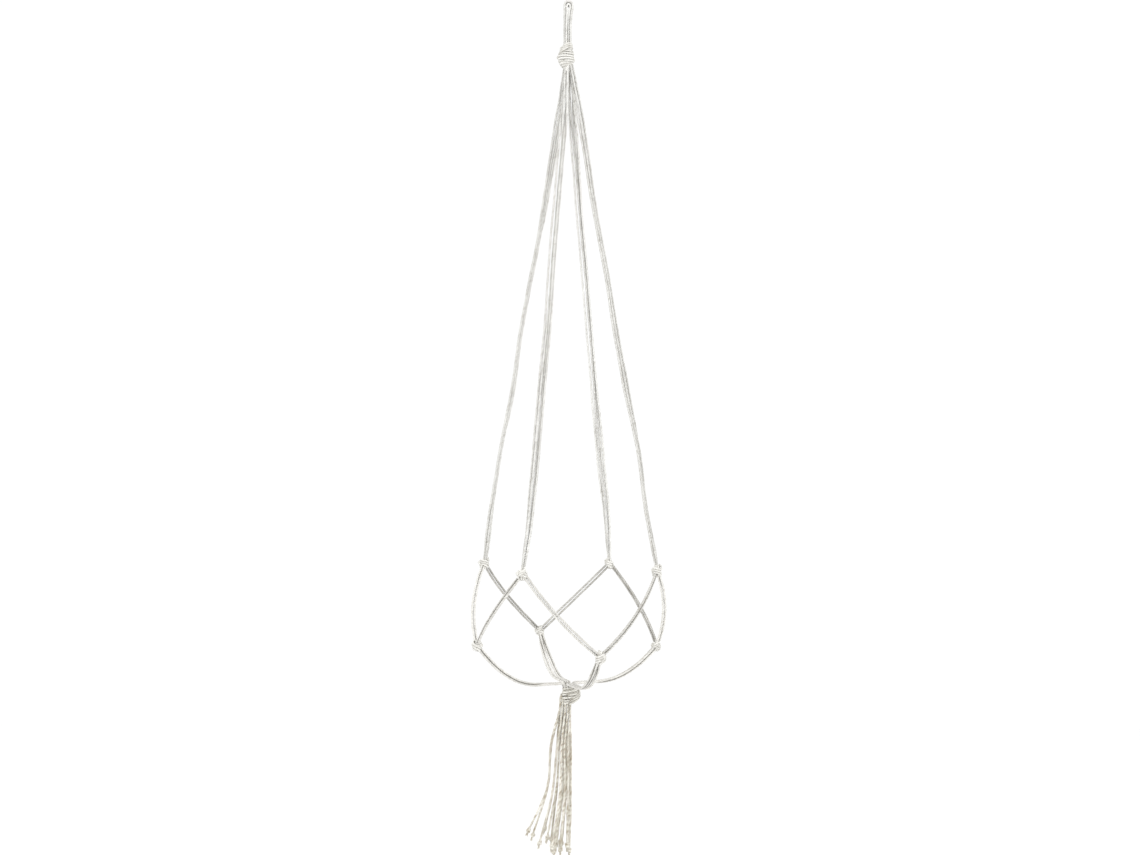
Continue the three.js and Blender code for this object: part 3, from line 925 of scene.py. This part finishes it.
# Each tassel cord a third of the way down, two thirds of the way down and at its end.
# x and y are from the middle of the tassel's top, and z is from the gather knot's middle.
TASSEL_ROUTES = [
    [(-0.0176, -0.0050, -0.062), (-0.0214, -0.0065, -0.112), (-0.0450, -0.0090, -0.166)],
    [(-0.0164, 0.0002, -0.062), (-0.0208, 0.0010, -0.112), (-0.0402, 0.0030, -0.175)],
    [(-0.0102, 0.0052, -0.062), (-0.0148, 0.0090, -0.118), (-0.0253, 0.0150, -0.170)],
    [(-0.0098, -0.0064, -0.062), (-0.0158, -0.0095, -0.118), (-0.0308, -0.0170, -0.180)],
    [(-0.0074, -0.0016, -0.062), (-0.0112, -0.0030, -0.118), (-0.0220, -0.0060, -0.176)],
    [(-0.0070, 0.0034, -0.062), (-0.0102, 0.0050, -0.118), (-0.0170, 0.0080, -0.181)],
    [(-0.0046, -0.0086, -0.062), (-0.0062, -0.0125, -0.118), (-0.0162, -0.0200, -0.183)],
    [(-0.0032, -0.0032, -0.062), (-0.0050, -0.0056, -0.118), (-0.0134, -0.0110, -0.192)],
    [(-0.0016, 0.0018, -0.062), (-0.0024, 0.0024, -0.118), (-0.0112, 0.0016, -0.187)],
    [(-0.0040, 0.0072, -0.062), (-0.0060, 0.0104, -0.118), (-0.0140, 0.0180, -0.184)],
    [(-0.0004, -0.0064, -0.062), (-0.0008, -0.0102, -0.118), (-0.0056, -0.0170, -0.188)],
    [(0.0016, -0.0010, -0.062), (0.0012, -0.0018, -0.118), (-0.0064, -0.0046, -0.182)],
    [(0.0006, 0.0046, -0.062), (0.0016, 0.0070, -0.118), (-0.0042, 0.0120, -0.187)],
    [(0.0038, -0.0054, -0.062), (0.0038, -0.0084, -0.118), (0.0022, -0.0120, -0.184)],
    [(0.0072, 0.0000, -0.062), (0.0072, -0.0012, -0.118), (0.0052, -0.0030, -0.192)],
    [(0.0056, 0.0054, -0.062), (0.0058, 0.0070, -0.118), (0.0024, 0.0090, -0.190)],
]


def bundle_places():
    """Place in the bundle of each cord end, as it leaves the gather knot."""
    places = []
    for column, count in enumerate(TASSEL_COUNTS):
        x = (column - (len(TASSEL_COUNTS) - 1) / 2) * PITCH
        places += [(x, (row - (count - 1) / 2) * PITCH) for row in range(count)]
    return places


def tassel_top(x, y):
    reach = max(0, math.hypot(TASSEL_X + x - GATHER[0], y) - CORD_R)
    return -math.sqrt((GATHER_R + END_GAP) ** 2 - reach ** 2)


def add_end_knot(name, end, lean, material):
    """A small overhand knot at a cord's end, with a short frayed tip below it."""
    cords = CordMesh()
    up = -lean
    knot = KnotFrame(end - lean * 0.0005, chance.uniform(0, 360), (up[0] / up[2], up[1] / up[2]))
    start = chance.uniform(0, 360)
    hand = chance.choice((-1, 1))
    cords.add(wrap_route(knot, start, hand * 640, 0.00175, 0.0, rise=-0.0048, dive=0.5),
              radius=0.00136, tone=END_TONE)
    points = []
    for share in np.linspace(0, 1, 7):
        angle = math.radians(start + 90 + hand * 170 * share)
        reach = 0.0023 * math.sin(math.pi * (0.12 + 0.76 * share))
        points.append(knot.at(reach * math.cos(angle), reach * math.sin(angle), 0.0024 - 0.0048 * share))
    cords.add(smooth_route(points), radius=0.00130, tone=END_TONE)
    tip = knot.at(0, 0, -0.0026)
    cords.add(smooth_route([knot.at(0, 0, 0.002), tip, tip + lean * 0.0014]), radius=0.0011)
    for _ in range(TIP_FIBRES):
        angle = chance.uniform(0, 2 * math.pi)
        place = chance.uniform(0, 0.0009)
        flare = chance.uniform(0.2, 1.0)
        length = chance.uniform(0.0028, 0.0058)
        aside = knot.right * math.cos(angle) + knot.back * math.sin(angle)
        foot = tip + aside * place
        points = [foot + lean * 0.0002, foot + lean * length * 0.5 + aside * flare * 0.0005,
                  foot + lean * length + aside * flare * 0.0016]
        cords.add(smooth_route(points, 0.0008), radius=0.00027, ends=(1, 0.4))
    piece = add_piece(name, cords, material)
    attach(piece, "tassel")
    return piece


def tassel_route(place, points):
    """Where a cord end leaves the gather knot, and its route from inside the knot to its end."""
    x, y = place
    top = tassel_top(x, y)
    corners = [(x, y, top), (x * 1.04, y * 1.04, top - 0.009), *points]
    start = np.array([TASSEL_X, 0, GATHER[2]])
    hanging = [start + np.array(corner) for corner in corners]
    inside = start + np.array([x * 0.7, y * 0.7, top + 0.006])
    return hanging[0], wavy(smooth_route([inside, *hanging]), 0.0003)


def add_tassel(material):
    """The cord ends: they hang limp from the gather knot, at the full length that shows."""
    ends = [tassel_route(*pair) for pair in zip(bundle_places(), TASSEL_ROUTES)]
    for number, (leaves, route) in enumerate(ends, start=1):
        cords = CordMesh(OPEN_PLY)
        cords.add(route)
        name = f"tassel_cord_{number}"
        piece = add_piece(f"{name}_twisted", cords, material, [name],
                          beside=[other for _, other in ends])
        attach(piece, "tassel")
        lean = unit(route[-1] - route[-4])
        knot = add_end_knot(f"tassel_end_{number}", route[-1], lean, material)


# ---- The whole planter ---------------------------------------------------------------------

def add_floor():
    drop = 0.06  # below the tassel
    bpy.ops.mesh.primitive_circle_add(
        vertices=96, radius=1.6, fill_type="NGON", location=(0, 0, cad_low.z - drop)
    )
    floor = bpy.context.object
    floor.name = "floor"
    floor.data.materials.append(floor_paint())


add_camera()
tassel_cotton = cotton("tassel cotton", (0.98, 0.96, 0.88, 1), (0.34, 0.30, 0.22, 1),
                       (0.30, 0.21, 0.09, 1), 1.3, 0.65, crease_shade=0.30, mottle=1.5)
add_tassel(tassel_cotton)

arm_cotton = cotton("arm cotton", (0.92, 0.915, 0.885, 1), (0.40, 0.39, 0.36, 1),
                    (0.38, 0.35, 0.29, 1), 0.8, 0.5, crease_shade=0.45, mottle=0.85)
net_cotton = cotton("net cotton", (0.90, 0.885, 0.84, 1), (0.25, 0.24, 0.215, 1),
                    (0.32, 0.28, 0.21, 1), 0.7, 0.5, crease_shade=1.2, mottle=0.7)
knot_cotton = cotton("knot cotton", (0.95, 0.94, 0.90, 1), (0.46, 0.445, 0.40, 1),
                     (0.42, 0.39, 0.33, 1), 0.6, 0.3, crease_shade=0.45, mottle=0.75)
gather_cotton = cotton("gather cotton", (0.97, 0.955, 0.89, 1), (0.40, 0.38, 0.33, 1),
                       (0.32, 0.28, 0.20, 1), 0.9, 0.5, crease_shade=0.65, mottle=0.85)
add_loop(arm_cotton)
add_top_knot(knot_cotton)
for arm in range(ARMS):
    add_arm(arm, arm_cotton)
    add_small_knots(arm, knot_cotton)
    add_net(arm, net_cotton)
    add_leg(arm, net_cotton)
add_gather_knot(gather_cotton)
add_floor()
add_studio()
